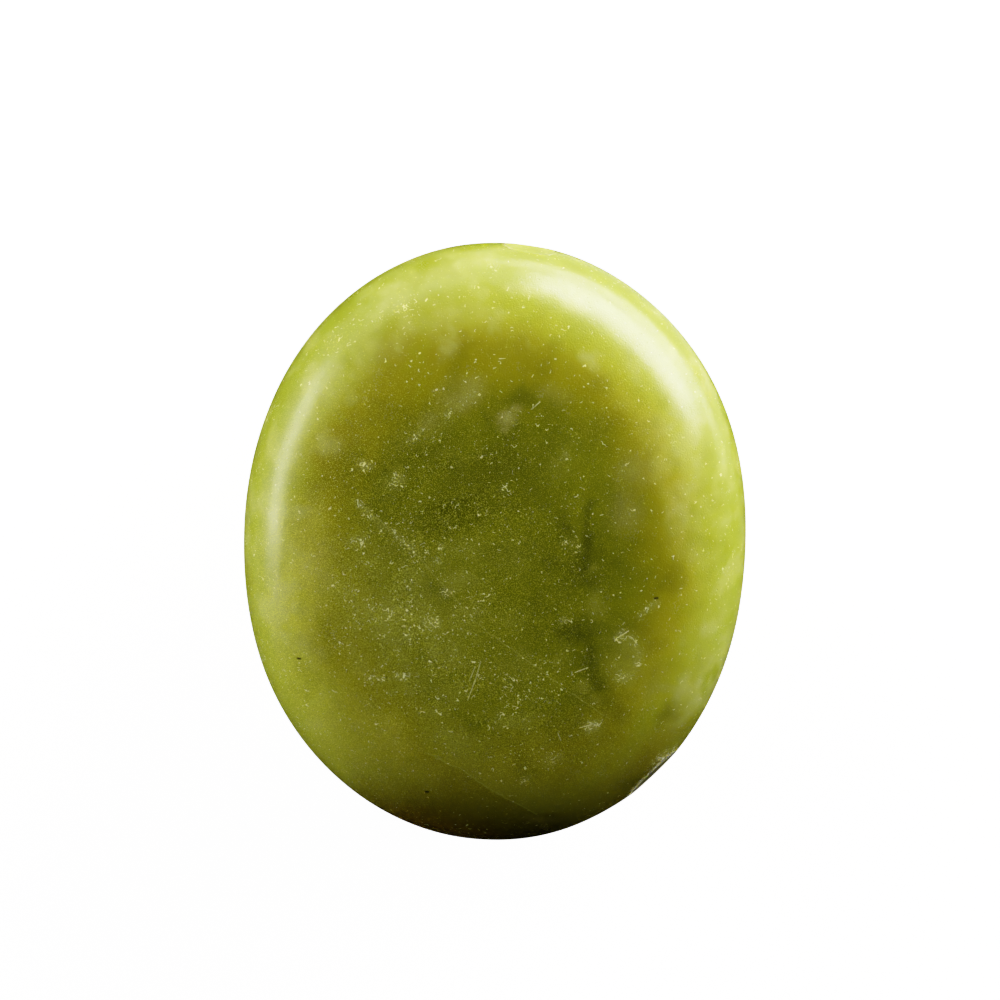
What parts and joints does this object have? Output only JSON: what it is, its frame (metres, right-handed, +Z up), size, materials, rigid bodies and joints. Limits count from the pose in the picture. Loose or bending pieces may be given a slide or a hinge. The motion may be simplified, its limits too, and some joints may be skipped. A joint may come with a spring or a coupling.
{
  "type": "palm stone",
  "caption": "Flattened oval pebble of green serpentine, polished to a satin, that fits the palm and rests on a small flat spot under its belly.",
  "frame": {"origin": "middle of the stone's box in X and Y, on the plane of the flat spot that it rests on", "axes": "+Y along the long side, +X across it, +Z up out of the upper face, so the stone lies flat"},
  "size_m": [0.049, 0.06, 0.018],
  "materials": {
    "green_serpentine": "satin"
  },
  "bodies": {
    "root": {"palm_stone": "green_serpentine"}
  },
  "joints": []
}
